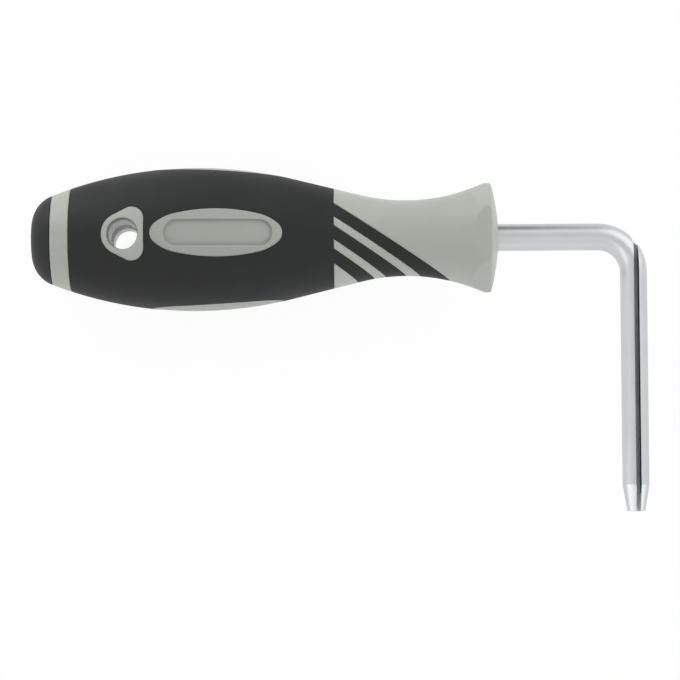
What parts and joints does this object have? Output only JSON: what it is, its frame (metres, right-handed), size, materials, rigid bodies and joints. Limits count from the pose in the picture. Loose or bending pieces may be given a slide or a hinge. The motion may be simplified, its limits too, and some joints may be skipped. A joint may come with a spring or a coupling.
{
  "type": "spoke wrench",
  "caption": "L-shaped spoke wrench: a bent chromed bar with a slotted leg and a nipple socket in its tapered tip, set in a soft-grip handle with a hanging hole.",
  "frame": {"origin": "middle of the hanging hole, on the handle's axis", "axes": "+X along the handle from the butt to the collar, +Y away from the leg, +Z along the hanging hole, to the side that the slot opens on"},
  "size_m": [0.137, 0.077, 0.0314],
  "materials": {
    "bar": "satin chrome plating",
    "hard_grey": "satin",
    "soft_black": "matte soft touch",
    "cap_black": "matte soft touch"
  },
  "bodies": {
    "root": {"handle_core": "hard_grey", "grip_sleeve": "soft_black", "butt_cap": "cap_black", "shank": "bar"}
  },
  "joints": []
}
